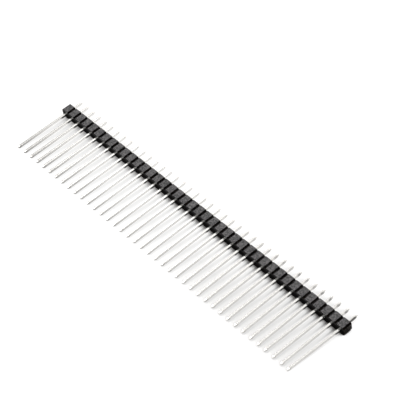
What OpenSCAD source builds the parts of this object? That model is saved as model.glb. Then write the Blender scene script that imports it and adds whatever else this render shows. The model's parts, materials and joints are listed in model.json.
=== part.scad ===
// Single-row breakaway pin header with extra-long pins, lying on its side.
// The strip rests on one edge of the moulded housing and on its long tips.
// +X runs along the row from the first pin, +Y points the way the solder tails do, +Z is up.
// The origin is on the surface that the strip lies on, under the middle of the whole part.
// All sizes are millimetres and all angles are degrees.

/* [Row] */
// Number of pins in the row
pin_count = 40; // [2:1:59]
// Distance from one pin to the next
pitch = 2.54; // [2:0.01:4]

/* [Housing] */
// Size of the moulded strip along the pins
body_depth = 2.54; // [1.5:0.02:6]
// Size of the moulded strip across the row
body_height = 2.54; // [2:0.02:5]
// Depth of the V cut between two units, which is half of its width
notch = 0.35; // [0.1:0.05:0.6]

/* [Pins] */
// Side of the square pin
pin_width = 0.64; // [0.4:0.02:0.8]
// Length of the long side, from the housing to its tip
long_length = 15.46; // [4:0.02:30]
// Length of the solder tail, from the housing to its tip
tail_length = 3; // [1.5:0.1:6]
// Length of the taper at both ends of a pin
tip_length = 0.5; // [0.2:0.05:1]
// Side of the small flat at the end of a tip
tip_width = 0.3; // [0.1:0.02:0.4]

/* [Bent pins] */
// Sideways bend of the last pins, towards the first one, in order up to the very last
end_bends = [1.3, 0.8, 0.6, 2.2]; // [0:0.1:3]
// Distance from the housing at which a bent pin starts to lean
bend_start = 0.2; // [0.1:0.05:1]

/* [Hidden] */
pin_height = body_height / 2;
pin_back = body_depth + tail_length;

// The long tips touch the surface, and so does the housing's edge below the long pins.
rest_tilt = atan((pin_height - pin_width / 2) / (long_length - tip_length));
// Middle of the part along Y when it is tilted with that edge on the X axis
middle_y = ((pin_back - long_length) * cos(rest_tilt) - body_height * sin(rest_tilt)) / 2;

first_bent = pin_count - len(end_bends) + 1;

function pin_name(i) = str("pin_", i < 10 ? "0" : "", i);
function pin_x(i) = (i - (pin_count + 1) / 2) * pitch;
function joint_x(i) = (i - pin_count / 2) * pitch;
function pin_bend(i) = i < first_bent ? 0 : end_bends[i - first_bent];

// Moves what is drawn square, with the long-pin face on Y = 0 and the underside on Z = 0,
// to the way the strip lies.
module lying() {
    translate([0, -middle_y, 0]) rotate([rest_tilt, 0, 0]) children();
}

// Lower edge of the section, where unit i ends and the next one starts
function notch_points(i) = [
    if (i > 0) [joint_x(i) - notch, 0],
    [joint_x(i), notch],
    if (i < pin_count) [joint_x(i) + notch, 0]
];

// A row of octagons, joined by the webs that are left between the V cuts
module strip_section() {
    lower = [for (i = [0 : pin_count]) each notch_points(i)];
    upper = [for (i = [len(lower) - 1 : -1 : 0]) [lower[i].x, body_height - lower[i].y]];
    polygon(concat(lower, upper));
}

// A moulded strip with one square hole for each pin
module housing() {
    color([0.11, 0.11, 0.11]) lying() difference() {
        translate([0, body_depth, 0]) rotate([90, 0, 0])
            linear_extrude(body_depth) strip_section();
        for (i = [1 : pin_count])
            translate([pin_x(i), body_depth / 2, pin_height])
                cube([pin_width, 2 * body_depth, pin_width], center = true);
    }
}

// Turns a point about the place where a bent pin starts to lean.
function leaned(p, bend) = [
    p.x * cos(bend) + (p.y + bend_start) * sin(bend),
    (p.y + bend_start) * cos(bend) - p.x * sin(bend) - bend_start
];

// Outline of a pin along Y, with a tapered end each way and its bend towards -X
function pin_outline(bend) =
    let (
        side = pin_width / 2,
        tip = tip_width / 2,
        miter = side * tan(bend / 2),
        tail_end = [
            [side, pin_back - tip_length], [tip, pin_back],
            [-tip, pin_back], [-side, pin_back - tip_length]
        ],
        long_end = [
            [-side, tip_length - long_length], [-tip, -long_length],
            [tip, -long_length], [side, tip_length - long_length]
        ]
    )
    concat(
        tail_end,
        [if (bend > 0) [-side, miter - bend_start]],
        [for (p = long_end) leaned(p, bend)],
        [if (bend > 0) [side, -miter - bend_start]]
    );

// A square pin, tapered on its four sides at both ends
module pin(i) {
    reach = 2 * (pin_width + long_length * sin(pin_bend(i)));
    color([0.8, 0.78, 0.74]) lying() translate([pin_x(i), 0, pin_height]) intersection() {
        linear_extrude(pin_width, center = true) polygon(pin_outline(pin_bend(i)));
        rotate([0, 90, 0]) linear_extrude(reach, center = true) polygon(pin_outline(0));
    }
}

housing();
for (i = [1 : pin_count]) pin(i);
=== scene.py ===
"""Looks of a pin header strip that lies on its side: the moulded housing, the plated pins and a studio.

Everything is in metres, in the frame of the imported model. The strip's own square frame has the row along
X, the pins along Y and the housing's top on Z; STRIP turns it to the way the strip lies.
"""
import json
import math
from collections import namedtuple
import bmesh
import bpy
from mathutils import Matrix, Vector, noise


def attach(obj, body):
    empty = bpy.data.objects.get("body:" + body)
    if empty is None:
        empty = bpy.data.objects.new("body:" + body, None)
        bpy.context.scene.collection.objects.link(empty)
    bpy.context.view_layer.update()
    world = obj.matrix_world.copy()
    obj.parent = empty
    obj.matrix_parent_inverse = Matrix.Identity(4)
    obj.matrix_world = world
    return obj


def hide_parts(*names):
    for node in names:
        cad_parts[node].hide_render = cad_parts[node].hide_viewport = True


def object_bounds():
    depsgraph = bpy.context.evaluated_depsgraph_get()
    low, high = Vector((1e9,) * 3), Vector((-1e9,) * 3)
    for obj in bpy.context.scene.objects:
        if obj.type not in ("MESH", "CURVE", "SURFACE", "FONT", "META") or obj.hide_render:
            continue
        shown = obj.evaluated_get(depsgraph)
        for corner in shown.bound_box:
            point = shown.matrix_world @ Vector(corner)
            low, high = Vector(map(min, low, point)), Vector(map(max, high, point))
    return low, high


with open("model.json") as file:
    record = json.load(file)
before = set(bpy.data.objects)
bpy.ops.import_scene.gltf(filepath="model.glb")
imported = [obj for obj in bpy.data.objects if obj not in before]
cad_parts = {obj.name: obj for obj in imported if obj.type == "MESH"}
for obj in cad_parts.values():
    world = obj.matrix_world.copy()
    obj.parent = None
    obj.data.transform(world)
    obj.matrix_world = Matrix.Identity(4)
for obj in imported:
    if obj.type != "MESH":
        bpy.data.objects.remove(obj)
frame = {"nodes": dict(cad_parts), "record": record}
cad_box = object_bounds()

MM = 0.001
HOUSING = "housing"
PINS = sorted(name for name in frame["nodes"] if name.startswith("pin_"))
HALF_ROW = cad_box[1].x

# Housing
NOTCH = 0.35 * MM               # depth of the V cut between two units
EDGE_RADIUS = 0.045 * MM        # rounding of the moulded edges
EDGE_ANGLE = math.radians(43)   # an edge is rounded where it turns by more than this
EDGE_SEGMENTS = 3
SNAP_INSET = 0.12 * MM          # plain border round the snapped face at each end
SNAP_ROUGHNESS = 0.05 * MM      # depth of the torn surface
SNAP_GRAIN = 0.35 * MM          # size of its lumps
SNAP_CUTS = 11                  # cuts across the snapped face, for its lumps
SAME_PLACE = 1e-9               # points closer than this are one point

# Pins
TIP_LENGTH = 0.5 * MM
TIP_WIDTH = 0.3 * MM
TIP_EDGE_RADIUS = 0.05 * MM     # rounding round the small flat at a pin's end
TIP_SHOULDER = 0.12 * TIP_LENGTH  # stretch over which the taper turns into the straight pin
PIN_EDGE_RADIUS = 0.08 * MM
CORNER_STEPS = 4
BEND_LENGTH = 0.8 * MM          # stretch over which a bent pin curves
BEND_STEPS = 6

# Material slots of the housing
TOP, SIDE, TORN, PAINTED_LIT_WALL = range(4)
PLASTIC_IOR = 1.55

# Colours, as linear red, green and blue
# The flats' greys are partly painted light, lighter than the black of the sides as on faces lit from above.
TOP_DARK, TOP_PAINTED_LIT, TOP_SPECK = (0.005, 0.0047, 0.0052), (0.121, 0.1115, 0.1135), (0.17, 0.162, 0.158)
SIDE_DARK, SIDE_STAIN = (0.0003, 0.0002, 0.0002), (0.0090, 0.0056, 0.0038)
# The greys of the V walls that face the first pin are painted light, as on walls lit from that side.
WALL_PAINTED_DARK, WALL_PAINTED_LIGHT = (0.05, 0.048, 0.048), (0.11, 0.105, 0.105)
TORN_DARK, TORN_LIGHT = (0.002, 0.0017, 0.0015), (0.085, 0.074, 0.064)
TIN_DARK, TIN_LIGHT = (0.74, 0.725, 0.695), (0.80, 0.785, 0.76)
TIP_GREY_FIRST, TIP_GREY_LATER = (0.50, 0.485, 0.46), (0.63, 0.615, 0.59)
TAIL_GREY = (0.12, 0.115, 0.11)
PAPER = (0.27, 0.257, 0.243)
LIFT_TINT = (0.99, 0.995, 1.0)  # a little cool, because the paper under it is warm

# Camera, from the aim point on the floor, at the photo's view
AIM = Vector((-3.15, 9.95, 0.0)) * MM
AZIMUTH = math.radians(53.423)
ELEVATION = math.radians(46.287)
DISTANCE = 374.57 * MM
ROLL = math.radians(6.4705)
LENS = 139.79
SENSOR = 36.0

# Light
# Round patches of the sky: direction, the angles from it at which the patch has faded out and starts to
# fade, in degrees, and strength. A negative patch takes light away; the sum is above zero everywhere.
PATCHES = (
    ((-0.30, -0.08, 0.95), (38.0, 29.0), 0.73),        # soft panel overhead
    ((-0.50, 0.02, 0.866), (9.5, 5.0), 15.0),          # small key light, for an edge to the pins' shadows
    ((-0.592, 0.28, 0.755), (4.0, 1.5), 0.9),          # gleam on the tops of the first half of the pins
    ((-0.655, 0.235, 0.718), (3.7, 1.9), -0.95),       # black card, which greys the tops of the first pins
    ((-0.42, 0.31, 0.853), (9.0, 4.0), -0.15),         # gauze, which dims the tops of the last pins a little
    ((-0.555, -0.412, 0.723), (16.0, 8.0), 4.0),       # gleam on the pins' roots and on the housing's front
)
GLOW_DIRECTION = Vector((-0.60, 0.72, 0.35)).normalized()  # low behind the first pins
GLOW_STRENGTH = 1.3
GLOW_SHARPNESS = 8.0
AMBIENT = 0.26                  # even light from the whole sky
BACKDROP_EDGE = (14.0, 8.0)     # degrees above the horizon at which the white backdrop is gone, and full
FLOOR_SIZE = 3.0


# ---------------------------------------------------------------- places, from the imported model

def mount(name):
    """Middle and outward axis of one of the record's mounts"""
    found = next(m for m in frame["record"]["mounts"] if m["name"] == name)
    return Vector(found["pos_m"]), Vector(found["axis"])


board_face, tail_axis = mount("board_face")
STRIP = Matrix.Rotation(math.atan2(tail_axis.z, tail_axis.y), 4, "X")


def strip_points(node):
    """The corners of a CAD node in the strip's square frame"""
    back = STRIP.inverted()
    return [back @ v.co for v in frame["nodes"][node].data.vertices]


def span(points):
    """Lowest and highest corner of the box round some points"""
    low = Vector([min(p[i] for p in points) for i in range(3)])
    high = Vector([max(p[i] for p in points) for i in range(3)])
    return low, high


def end_centre(points, end_y, reach=0.02 * MM):
    """Middle of the points that lie within reach of one end of a pin"""
    low, high = span([p for p in points if abs(p.y - end_y) < reach])
    return (low + high) / 2


house_low, house_high = span(strip_points(HOUSING))
front_edge = STRIP @ Vector((0.0, house_low.y, house_low.z))
PITCH = (house_high.x - house_low.x) / len(PINS)
PIN_Z = (house_low.z + house_high.z) / 2


def pin_line(node):
    """Middle of a pin's long tip, and of the place where it leaves the housing"""
    points = strip_points(node)
    low, high = span(points)
    foot = end_centre(points, high.y)
    foot.y = house_low.y
    return STRIP @ end_centre(points, low.y), STRIP @ foot


# ---------------------------------------------------------------- node helpers

class Nodes:
    """Short calls for building one node tree"""

    def __init__(self, tree):
        self.tree = tree
        tree.nodes.clear()

    def add(self, kind, **inputs):
        node = self.tree.nodes.new(kind)
        for name, value in inputs.items():
            self.set(node, name.replace("_", " "), value)
        return node

    def set(self, node, name, value):
        """Links or sets one input; a colour is three numbers"""
        socket = node.inputs[name]
        if isinstance(value, bpy.types.NodeSocket):
            self.tree.links.new(value, socket)
        elif socket.type == "RGBA":
            socket.default_value = (*value, 1.0)
        else:
            socket.default_value = value

    def show(self, shader, output="ShaderNodeOutputMaterial"):
        """Makes a shader the surface of the material or the world"""
        self.add(output, Surface=shader.outputs[0])

    def math(self, operation, a, b=0.0, clamp=False):
        node = self.tree.nodes.new("ShaderNodeMath")
        node.operation = operation
        node.use_clamp = clamp
        self.set(node, 0, a)
        self.set(node, 1, b)
        return node.outputs[0]

    def plus(self, a, b):
        return self.math("ADD", a, b)

    def minus(self, a, b):
        return self.math("SUBTRACT", a, b)

    def times(self, a, b):
        return self.math("MULTIPLY", a, b)

    def larger(self, a, b):
        return self.math("MAXIMUM", a, b)

    def vector(self, operation, a, b):
        node = self.tree.nodes.new("ShaderNodeVectorMath")
        node.operation = operation
        self.set(node, 0, a)
        self.set(node, 1, b)
        return node

    def remap(self, value, low, high, to_low, to_high, smooth=False):
        """Goes from to_low to to_high as the value goes from low to high, and is level outside"""
        node = self.tree.nodes.new("ShaderNodeMapRange")
        if smooth:
            node.interpolation_type = "SMOOTHSTEP"
        for name, v in (("Value", value), ("From Min", low), ("From Max", high),
                        ("To Min", to_low), ("To Max", to_high)):
            self.set(node, name, v)
        return node.outputs["Result"]

    def noise(self, place, size, detail=2.0, rough=0.5, stretch=(1.0, 1.0, 1.0)):
        """Noise whose lumps are about size metres across"""
        scaled = self.vector("MULTIPLY", place, stretch).outputs[0]
        node = self.add("ShaderNodeTexNoise", Vector=scaled, Scale=1.0 / size, Detail=detail, Roughness=rough)
        return node.outputs["Fac"]

    def mix_value(self, factor, a, b):
        node = self.tree.nodes.new("ShaderNodeMix")
        for name, v in ((0, factor), (2, a), (3, b)):
            self.set(node, name, v)
        return node.outputs[0]

    def mix(self, factor, a, b):
        """Mixes two colours"""
        node = self.tree.nodes.new("ShaderNodeMix")
        node.data_type = "RGBA"
        for name, v in ((0, factor), (6, a), (7, b)):
            self.set(node, name, v)
        return node.outputs[2]


def new_material(name):
    """A material, the calls for its nodes and the place on the object, in metres"""
    material = bpy.data.materials.new(name)
    material.use_nodes = True
    n = Nodes(material.node_tree)
    return material, n, n.add("ShaderNodeTexCoord").outputs["Object"]


def unit_number(n, x):
    """How many units a place is from the first end of the row"""
    return n.plus(n.math("DIVIDE", x, PITCH), len(PINS) / 2)


# ---------------------------------------------------------------- materials of the housing

def plastic(n, colour, rough, height, relief, depth, shine=0.5):
    """The black plastic's shader; relief is the strength of the bump, and shine the specular level"""
    bump = n.add("ShaderNodeBump", Height=height, Strength=relief, Distance=depth)
    n.show(n.add("ShaderNodeBsdfPrincipled", Base_Color=colour, Roughness=rough, IOR=PLASTIC_IOR,
                 Specular_IOR_Level=shine, Normal=bump.outputs["Normal"]))


def grained_top_painted_lit():
    """The flats: glass-filled plastic with the mould's coarse grain, dark and grey, and pale fibre ends; the
    grey is partly painted light, lighter than the sides as on faces lit from above
    """
    material, n, place = new_material("grained_black_plastic_painted_lit")
    cloud = n.noise(place, 2.4 * MM)
    mottle = n.noise(place, 0.42 * MM, detail=4.0, rough=0.7)
    grain = n.noise(place, 0.12 * MM, detail=3.0, rough=0.6)
    fibre = n.noise(place, 0.06 * MM, detail=1.0, stretch=(0.3, 1.0, 1.0))
    grey = n.math("ADD", n.remap(mottle, 0.42, 0.60, 0.0, 1.0), n.remap(cloud, 0.3, 0.7, -0.22, 0.18),
                  clamp=True)
    colour = n.mix(n.remap(fibre, 0.60, 0.76, 0.0, 0.9), n.mix(grey, TOP_DARK, TOP_PAINTED_LIT), TOP_SPECK)
    rough = n.remap(grain, 0.3, 0.7, 0.34, 0.46)
    plastic(n, colour, rough, n.plus(grain, n.times(mottle, 1.5)), relief=0.4, depth=0.02 * MM, shine=0.37)
    return material


def smooth_side():
    """The front, the back and most walls of the V cuts: deep black, faintly stained, with little shine"""
    material, n, place = new_material("smooth_black_plastic")
    cloud = n.noise(place, 1.6 * MM, detail=3.0)
    grain = n.noise(place, 0.11 * MM, detail=3.0, rough=0.6)
    stain = n.noise(place, 0.5 * MM, detail=3.0, rough=0.6)
    colour = n.mix(n.remap(stain, 0.45, 0.63, 0.0, 1.0), SIDE_DARK, SIDE_STAIN)
    rough = n.plus(n.remap(grain, 0.3, 0.7, 0.15, 0.21), n.remap(cloud, 0.3, 0.7, -0.03, 0.05))
    plastic(n, colour, rough, grain, relief=0.3, depth=0.02 * MM, shine=0.045)
    return material


def torn_end():
    """The two snapped ends: dull, and greyer on the torn crests"""
    material, n, place = new_material("torn_black_plastic")
    crumb = n.noise(place, 0.25 * MM, detail=4.0, rough=0.65)
    grain = n.noise(place, 0.07 * MM, detail=3.0, rough=0.6)
    colour = n.mix(n.remap(crumb, 0.45, 0.62, 0.0, 1.0), TORN_DARK, TORN_LIGHT)
    rough = n.remap(grain, 0.3, 0.7, 0.5, 0.65)
    plastic(n, colour, rough, n.plus(crumb, n.times(grain, 0.5)), relief=0.5, depth=0.04 * MM, shine=0.12)
    return material


def painted_lit_wall():
    """The upper walls of the V cuts that face the first pin: smooth, and painted greyer than the other walls,
    as if lit from that side
    """
    material, n, place = new_material("black_plastic_painted_lit_wall")
    cloud = n.noise(place, 0.5 * MM, detail=3.0)
    grain = n.noise(place, 0.11 * MM, detail=3.0, rough=0.6)
    colour = n.mix(cloud, WALL_PAINTED_DARK, WALL_PAINTED_LIGHT)
    plastic(n, colour, n.remap(grain, 0.3, 0.7, 0.14, 0.2), grain, relief=0.2, depth=0.02 * MM)
    return material


# ---------------------------------------------------------------- material of the pins

def tail_grey_share(n, place, unit, along):
    """Share of grey on the tails: patchy, on half of each pin's width, and more towards the last"""
    tail = cad_box[1].y - board_face.y

    def up_tail(start, end, before, after, smooth=True):
        """Changes between two shares of the tail's length"""
        return n.remap(along, board_face.y + start * tail, board_face.y + end * tail, before, after, smooth)

    patchy = n.remap(n.noise(place, 1.1 * MM, detail=1.0), 0.35, 0.65, 0.35, 1.0)
    grey_share = n.times(patchy, n.remap(unit, 0.6 * len(PINS), 0.85 * len(PINS), 0.05, 0.9))
    grey_share = n.times(grey_share, up_tail(0.34, 0.60, 0.0, 1.0))
    last_pin = n.math("GREATER_THAN", unit, len(PINS) - 1.0)
    grey_share = n.times(n.larger(grey_share, last_pin), up_tail(0.0, 0.1, 0.0, 1.0, smooth=False))
    grey_share = n.times(grey_share, up_tail(0.68, 0.84, 1.0, 0.0))
    off_axis = n.minus(n.math("FRACT", unit), 0.5)
    return n.times(grey_share, n.remap(off_axis, -0.04, 0.08, 0.0, 1.0, smooth=True))


def tin_plate():
    """Bright tin over drawn wire: faint lines along the pin, rougher where the ends were coined, and darker
    grey at the long tips, most of all on the first pins
    """
    material, n, place = new_material("tin_plate")
    cloud = n.noise(place, 2.2 * MM)
    drawn = n.noise(place, 0.05 * MM, stretch=(1.0, 0.02, 1.0))
    grain = n.noise(place, 0.09 * MM, detail=3.0)
    split = n.add("ShaderNodeSeparateXYZ", Vector=place)
    along = split.outputs["Y"]
    unit = unit_number(n, split.outputs["X"])
    from_end = n.minus(cad_box[1].y, n.math("ABSOLUTE", along))
    # The long tips are darker grey, and darkest on the first pins.
    coined = n.remap(from_end, 0.8 * TIP_LENGTH, 2.4 * TIP_LENGTH, 1.0, 0.0, smooth=True)
    grey_tip = n.times(coined, n.math("LESS_THAN", along, 0.0))
    tip_grey = n.mix(n.remap(unit, 1.0, 9.0, 0.0, 1.0), TIP_GREY_FIRST, TIP_GREY_LATER)
    # Grey patches on the tails, more towards the last pins, mixed over the tin.
    grey_share = tail_grey_share(n, place, unit, along)
    colour = n.mix(grey_share, n.mix(grey_tip, n.mix(cloud, TIN_DARK, TIN_LIGHT), tip_grey), TAIL_GREY)
    rough = n.plus(n.remap(grain, 0.3, 0.7, 0.13, 0.18), n.times(coined, 0.05))
    rough = n.plus(rough, n.times(grey_share, 0.15))
    bump = n.add("ShaderNodeBump", Height=n.plus(drawn, n.times(grain, 0.4)), Strength=0.05,
                 Distance=0.01 * MM)
    n.show(n.add("ShaderNodeBsdfPrincipled", Base_Color=colour, Roughness=rough, Metallic=1.0,
                 Normal=bump.outputs["Normal"]))
    return material


# ---------------------------------------------------------------- material of the floor

# A place on the floor: along the row, how far it is ahead of the housing's front edge, behind its back
# and past its ends, and the number of the unit
FloorPlace = namedtuple("FloorPlace", "x y ahead behind past_end unit")


def floor_place(n, place):
    """Tells where a point of the floor is from the strip, in metres and in units of the row"""
    split = n.add("ShaderNodeSeparateXYZ", Vector=place)
    x, y = split.outputs["X"], split.outputs["Y"]
    return FloorPlace(x, y, ahead=n.minus(front_edge.y, y), behind=n.minus(y, board_face.y),
                      past_end=n.minus(n.math("ABSOLUTE", x), HALF_ROW), unit=unit_number(n, x))


def on_row(n, at, start, end, before, after):
    """Changes along the row, between two shares of half its length from its middle"""
    return n.remap(at.x, start * HALF_ROW, end * HALF_ROW, before, after)


def contact_shade(n, at, openness):
    """Share of the lift that is left close to the housing, where it follows how open the floor is"""
    reach = on_row(n, at, -1.0, 0.0, 5.0 * MM, 2.6 * MM)
    near = n.times(n.remap(at.ahead, 0.8 * MM, reach, 1.0, 0.0, smooth=True),
                   n.remap(at.behind, 0.0, 0.9 * MM, 1.0, 0.0, smooth=True))
    near = n.times(near, n.remap(at.past_end, 0.0, 0.45 * MM, 1.0, 0.0, smooth=True))
    darkest_at = on_row(n, at, -1.0, 0.0, 0.34, 0.385)
    clear_at = on_row(n, at, -1.0, 0.0, 0.74, 0.575)
    clear = n.math("POWER", n.remap(openness, darkest_at, clear_at, 0.0, 1.0), 0.66)
    shade = n.remap(clear, 0.0, 1.0, on_row(n, at, -1.0, 0.2, 0.22, 0.0), 1.0)
    return n.plus(n.times(shade, near), n.minus(1.0, near))


def painted_pin_shadow(n, at):
    """Depth of the painted shadow before each unit: a soft wedge where a near lamp would cast its pin's
    shadow
    """
    middle = on_row(n, at, -1.0, 0.6, 0.04, 0.38)
    off_wedge = n.minus(n.math("FRACT", n.minus(at.unit, middle)), 0.5)
    deepest = on_row(n, at, -0.5, 0.5, 0.25, 0.75)
    wedge = n.remap(n.math("ABSOLUTE", off_wedge), 0.02, 0.19, deepest, 0.0, smooth=True)
    halvings = n.math("DIVIDE", at.ahead, 1.9 * MM)
    wedge = n.math("MULTIPLY", wedge, n.math("POWER", 0.5, halvings), clamp=True)
    wedge = n.times(wedge, n.remap(at.ahead, -0.3 * MM, 0.0, 0.0, 1.0))
    return n.times(wedge, n.math("LESS_THAN", n.math("ABSOLUTE", at.x), HALF_ROW - 0.5 * PITCH))


def open_lift(n, at, openness):
    """The lift away from the housing, with painted shade and light: lower between the pins than round the
    strip, changing along the row and towards the tips, and full past the last pin
    """
    between = on_row(n, at, -0.5, 0.6, 0.77, 0.71)
    tipward = n.remap(at.ahead, 4.0 * MM, 13.0 * MM, 0.0, 1.0)
    between = n.minus(between, n.times(tipward, on_row(n, at, 0.0, 0.5, -0.08, 0.075)))
    # A painted lighter stretch in front of the middle of the row, near the housing.
    brighter = n.minus(on_row(n, at, -0.6, 0.1, 0.0, 0.09), on_row(n, at, 0.3, 0.7, 0.0, 0.085))
    between = n.plus(between, n.times(brighter, n.remap(at.ahead, 4.0 * MM, 8.0 * MM, 1.0, 0.0)))
    outside = n.larger(n.remap(openness, 0.85, 0.97, 0.0, 1.0, smooth=True),
                       n.remap(at.past_end, -0.9 * MM, -0.3 * MM, 0.0, 1.0, smooth=True))
    # Past the last pin the lift is full, which paints light over that pin's shadow.
    tip, foot = pin_line(PINS[-1])
    past_last_pin = n.minus(at.x, n.remap(at.y, tip.y, foot.y, tip.x, foot.x))
    outside = n.larger(outside, n.remap(past_last_pin, 0.1 * MM, 0.5 * MM, 0.0, 1.0, smooth=True))
    return n.mix_value(outside, between, 0.92)


def mirrored_lift(n, at):
    """The lift that metal and plastic mirror, with painted shade: dimmer towards the first tips, and dark
    under the front
    """
    near_tips = on_row(n, at, -1.0, 0.9, 0.54, 0.93)
    near_feet = on_row(n, at, -0.4, 0.8, 1.02, 0.86)
    start = on_row(n, at, -1.0, -0.4, 4.0 * MM, 7.0 * MM)
    ahead = n.mix_value(n.remap(at.ahead, start, 13.0 * MM, 0.0, 1.0), near_feet, near_tips)
    # Painted shade under the housing's front, which the front faces mirror.
    under_front = n.remap(at.ahead, 0.7 * MM, 1.5 * MM, 0.07, 1.0, smooth=True)
    behind = n.times(n.math("GREATER_THAN", at.behind, 0.0), 1.1)
    return n.times(ahead, n.larger(under_front, behind))


def white_sweep():
    """Pale floor, lifted to white where the camera sees it unshaded, with painted shade that is dark only
    near the housing and lighter between the pins
    """
    material, n, place = new_material("white_sweep")
    at = floor_place(n, place)
    openness = n.add("ShaderNodeAmbientOcclusion", Distance=2.2 * MM).outputs["AO"]
    # Painted shade on the floor: the contact shade and the pins' painted shadows.
    shade = n.times(contact_shade(n, at, openness), n.minus(1.0, painted_pin_shadow(n, at)))
    seen = n.times(open_lift(n, at, openness), shade)
    path = n.add("ShaderNodeLightPath")
    by_metal = n.larger(path.outputs["Is Glossy Ray"], path.outputs["Is Transmission Ray"])
    strength = n.plus(n.times(path.outputs["Is Camera Ray"], seen), n.times(by_metal, mirrored_lift(n, at)))
    lift = n.add("ShaderNodeEmission", Color=LIFT_TINT, Strength=strength)
    paper = n.add("ShaderNodeBsdfDiffuse", Color=PAPER)
    direct = n.tree.nodes.new("ShaderNodeMixShader")
    n.set(direct, 0, by_metal)
    n.set(direct, 1, paper.outputs[0])
    both = n.tree.nodes.new("ShaderNodeAddShader")
    n.set(both, 0, direct.outputs[0])
    n.set(both, 1, lift.outputs[0])
    n.show(both)
    return material


# ---------------------------------------------------------------- meshes

def place_piece(name, mesh, materials, node):
    """Turns a mesh from the square frame to the way the strip lies, and stands it in for its CAD node"""
    mesh.transform(STRIP)
    mesh.polygons.foreach_set("use_smooth", [True] * len(mesh.polygons))
    for material in materials:
        mesh.materials.append(material)
    piece = bpy.data.objects.new(name, mesh)
    bpy.context.scene.collection.objects.link(piece)
    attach(piece, "root")
    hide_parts(node)
    return piece


def soften(piece):
    """Rounds the sharp edges of the housing and keeps its flats flat"""
    bevel = piece.modifiers.new("rounded_edges", "BEVEL")
    bevel.width = EDGE_RADIUS
    bevel.segments = EDGE_SEGMENTS
    bevel.limit_method = "ANGLE"
    bevel.angle_limit = EDGE_ANGLE
    bevel.use_clamp_overlap = False
    bevel.material = SIDE
    keep_flats(piece)


def keep_flats(piece):
    """Lets the large faces set the normals, so that the rounding shades only the edges"""
    weighted = piece.modifiers.new("flat_faces", "WEIGHTED_NORMAL")
    weighted.keep_sharp = False
    weighted.weight = 100


def unit_outline(left):
    """The octagon of one unit, from the bottom of its left web and round counterclockwise"""
    right = left + PITCH
    low, high = house_low.z, house_high.z
    return [
        (left, low + NOTCH), (left + NOTCH, low), (right - NOTCH, low), (right, low + NOTCH),
        (right, high - NOTCH), (right - NOTCH, high), (left + NOTCH, high), (left, high - NOTCH),
    ]


def hole_outline(left, half):
    """The square hole of one unit, counterclockwise"""
    x = left + PITCH / 2
    low, high = PIN_Z - half, PIN_Z + half
    return [(x - half, low), (x + half, low), (x + half, high), (x - half, high)]


def tear(bm, face):
    """Roughens one end of the strip, as it is after it was snapped from a longer one"""
    bmesh.ops.inset_individual(bm, faces=[face], thickness=SNAP_INSET)
    inner = bmesh.ops.subdivide_edges(bm, edges=face.edges[:], cuts=SNAP_CUTS, use_grid_fill=True)
    torn = {v for v in inner["geom_inner"] if isinstance(v, bmesh.types.BMVert)}
    outward = math.copysign(1.0, next(iter(torn)).co.x)
    for v in torn:
        rise = noise.fractal(v.co / SNAP_GRAIN, 0.9, 2.0, 4)
        v.co.x -= outward * SNAP_ROUGHNESS * (0.5 + 0.5 * max(-1.0, min(1.0, rise)))


def housing_slot(face):
    """The material slot of one face of the housing, from its place and the way it faces"""
    if all(abs(v.co.x) > house_high.x - 2 * SNAP_ROUGHNESS for v in face.verts):
        return TORN
    # The flats get a copy of the plastic that is painted greyer, as if lit from above.
    if abs(face.normal.z) > 0.99:
        return TOP
    # The upper V walls that face the first pin get a copy painted greyer, as if lit from that side.
    if face.normal.x < -0.5 and face.normal.z > 0.5:
        return PAINTED_LIT_WALL
    return SIDE


def build_housing(half_hole):
    """A moulded row of octagonal units, joined by the webs between the V cuts"""
    bm = bmesh.new()
    known = {}

    def corner(x, y, z):
        key = (round(x / MM, 5), round(y / MM, 5), round(z / MM, 5))
        if key not in known:
            known[key] = bm.verts.new((x, y, z))
        return known[key]

    front, back = house_low.y, house_high.y
    ends = []
    for unit in range(len(PINS)):
        left = house_low.x + unit * PITCH
        outer, hole = unit_outline(left), hole_outline(left, half_hole)
        # Each of the hole's corners meets two of the octagon's corners.
        for y, order in ((front, 1), (back, -1)):
            o = [corner(x, y, z) for x, z in outer]
            h = [corner(x, y, z) for x, z in hole]
            rim = [(o[1], o[2], h[1], h[0]), (o[2], o[3], h[1]), (o[3], o[4], h[2], h[1]), (o[4], o[5], h[2]),
                   (o[5], o[6], h[3], h[2]), (o[6], o[7], h[3]), (o[7], o[0], h[0], h[3]), (o[0], o[1], h[0])]
            for face in rim:
                bm.faces.new(face[::order])
        for a, b in zip(outer, outer[1:] + outer[:1]):
            web = abs(a[0] - b[0]) < SAME_PLACE
            at_end = web and min(abs(a[0] - house_low.x), abs(a[0] - house_high.x)) < SAME_PLACE
            if web and not at_end:
                continue
            wall = bm.faces.new([corner(a[0], front, a[1]), corner(a[0], back, a[1]),
                                 corner(b[0], back, b[1]), corner(b[0], front, b[1])])
            if at_end:
                ends.append(wall)
        for a, b in zip(hole, hole[1:] + hole[:1]):
            bm.faces.new([corner(b[0], front, b[1]), corner(b[0], back, b[1]),
                          corner(a[0], back, a[1]), corner(a[0], front, a[1])])
    # tear() needs the normals, for its inset.
    bm.normal_update()
    for wall in ends:
        tear(bm, wall)
    bmesh.ops.recalc_face_normals(bm, faces=bm.faces[:])
    for face in bm.faces:
        face.material_index = housing_slot(face)
    mesh = bpy.data.meshes.new("housing_strip")
    bm.to_mesh(mesh)
    bm.free()
    return mesh


def rounded_square(half, radius):
    """Points round a square with rounded corners, in X and Z"""
    points = []
    for quarter in range(4):
        middle = math.radians(45 + 90 * quarter)
        cx = math.copysign(half - radius, math.cos(middle))
        cz = math.copysign(half - radius, math.sin(middle))
        for step in range(CORNER_STEPS + 1):
            a = math.radians(90 * quarter + 90 * step / CORNER_STEPS)
            points.append((cx + radius * math.cos(a), cz + radius * math.sin(a)))
    return points


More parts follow.
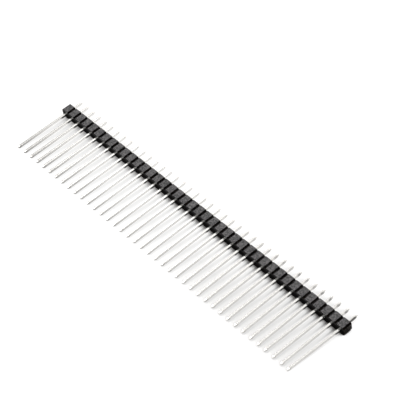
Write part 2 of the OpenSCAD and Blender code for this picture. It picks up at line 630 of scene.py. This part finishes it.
def tip_rings(half):
    """Distance from the end and half width of the rings of one tapered end, from the end inwards"""
    flat, edge, shoulder = TIP_WIDTH / 2, TIP_EDGE_RADIUS, TIP_SHOULDER
    slope = (half - flat) / TIP_LENGTH
    rings = [(0.0, flat - edge), (0.3 * edge, flat - 0.3 * edge), (edge, flat + slope * edge)]
    rings += [(TIP_LENGTH * share, flat + (half - flat) * share) for share in (0.35, 0.65, 0.86)]
    rings += [(TIP_LENGTH - 0.2 * shoulder, half - 0.55 * slope * shoulder),
              (TIP_LENGTH + 0.9 * shoulder, half)]
    return rings


def pin_stations(tail_y, tip_y, front_y, half):
    """(y, half width) of each ring of a pin, from the tail's end to the long tip"""
    rings = [(tail_y - d, h) for d, h in tip_rings(half)]
    rings += [(house_high.y, half), (front_y, half)]
    rings += [(front_y - BEND_LENGTH * step / BEND_STEPS, half) for step in range(1, BEND_STEPS + 1)]
    middle = (front_y - BEND_LENGTH + tip_y + TIP_LENGTH) / 2
    rings += [(middle, half)]
    rings += [(tip_y + d, h) for d, h in reversed(tip_rings(half))]
    return rings


def build_pin(node):
    """A square pin with rounded edges and tapered ends; a bent one curves just outside the housing"""
    points = strip_points(node)
    low, high = span(points)
    tail = end_centre(points, high.y)
    tip = end_centre(points, low.y)
    tail_low, tail_high = span([p for p in points if p.y > house_high.y])
    half = (tail_high.x - tail_low.x) / 2
    front_y = house_low.y
    lean = (tail.x - tip.x) / (front_y - BEND_LENGTH / 2 - low.y)
    bm = bmesh.new()
    rings = []
    for y, ring_half in pin_stations(high.y, low.y, front_y, half):
        past = front_y - y
        curved = min(max(past, 0.0), BEND_LENGTH)
        offset = lean * (curved * curved / (2 * BEND_LENGTH) + max(past - BEND_LENGTH, 0.0))
        radius = min(PIN_EDGE_RADIUS, 0.45 * ring_half)
        rings.append([bm.verts.new((tail.x - offset + x, y, PIN_Z + z))
                      for x, z in rounded_square(ring_half, radius)])
    for a, b in zip(rings, rings[1:]):
        for i in range(len(a)):
            j = (i + 1) % len(a)
            bm.faces.new([a[i], a[j], b[j], b[i]])
    bm.faces.new(rings[0][::-1])
    bm.faces.new(rings[-1])
    bmesh.ops.recalc_face_normals(bm, faces=bm.faces[:])
    mesh = bpy.data.meshes.new(node + "_plated")
    bm.to_mesh(mesh)
    bm.free()
    return mesh, half


# ---------------------------------------------------------------- studio

def build_floor():
    """A square floor round the origin, which isn't part of the object"""
    half = FLOOR_SIZE / 2
    corners = ((-half, -half), (half, -half), (half, half), (-half, half))
    bm = bmesh.new()
    bm.faces.new([bm.verts.new((x, y, 0.0)) for x, y in corners])
    mesh = bpy.data.meshes.new("floor")
    bm.to_mesh(mesh)
    bm.free()
    mesh.materials.append(white_sweep())
    floor = bpy.data.objects.new("floor", mesh)
    bpy.context.scene.collection.objects.link(floor)


def facing(n, place, direction):
    """Cosine of the angle between a direction and what is looked at"""
    return n.vector("DOT_PRODUCT", place, tuple(direction)).outputs["Value"]


def patch(n, place, direction, edge, strength):
    """A round patch of light that fades out between two angles, in degrees"""
    dark, full = (math.cos(math.radians(angle)) for angle in edge)
    return n.remap(facing(n, place, Vector(direction).normalized()), dark, full, 0.0, strength, smooth=True)


def build_world():
    """A dim sky with patches of light, a glow low behind the first pins and a white backdrop all round"""
    world = bpy.data.worlds.new("studio")
    world.use_nodes = True
    n = Nodes(world.node_tree)
    place = n.add("ShaderNodeTexCoord").outputs["Generated"]
    level = n.add("ShaderNodeSeparateXYZ", Vector=place).outputs["Z"]
    backdrop_gone, backdrop_full = (math.sin(math.radians(angle)) for angle in BACKDROP_EDGE)
    light = n.remap(level, backdrop_full, backdrop_gone, 1.0, AMBIENT, smooth=True)
    for direction, edge, strength in PATCHES:
        light = n.plus(light, patch(n, place, direction, edge, strength))
    glow = n.math("POWER", n.larger(facing(n, place, GLOW_DIRECTION), 0.0), GLOW_SHARPNESS)
    light = n.plus(light, n.times(glow, GLOW_STRENGTH))
    n.show(n.add("ShaderNodeBackground", Color=(1.0, 1.0, 1.0), Strength=light), "ShaderNodeOutputWorld")
    bpy.context.scene.world = world


def build_camera():
    """The camera at the photo's viewing angle"""
    data = bpy.data.cameras.new("camera")
    data.lens = LENS
    data.sensor_width = SENSOR
    data.clip_start = 0.01
    data.clip_end = 10.0
    camera = bpy.data.objects.new("camera", data)
    bpy.context.scene.collection.objects.link(camera)
    back = Vector((math.sin(AZIMUTH) * math.cos(ELEVATION), -math.cos(AZIMUTH) * math.cos(ELEVATION),
                   math.sin(ELEVATION)))
    level = (-back).to_track_quat("-Z", "Y").to_matrix().to_4x4()
    camera.matrix_world = Matrix.Translation(AIM + back * DISTANCE) @ level @ Matrix.Rotation(-ROLL, 4, "Z")
    bpy.context.scene.camera = camera


# ---------------------------------------------------------------- the strip

metal = tin_plate()
for node in PINS:
    pin_mesh, half_pin = build_pin(node)
    pin = place_piece(node + "_plated", pin_mesh, [metal], node)
    keep_flats(pin)
plastics = [grained_top_painted_lit(), smooth_side(), torn_end(), painted_lit_wall()]
strip = place_piece("housing_strip", build_housing(half_pin), plastics, HOUSING)
soften(strip)

build_floor()
build_world()
build_camera()
bpy.context.scene.view_settings.view_transform = "Standard"
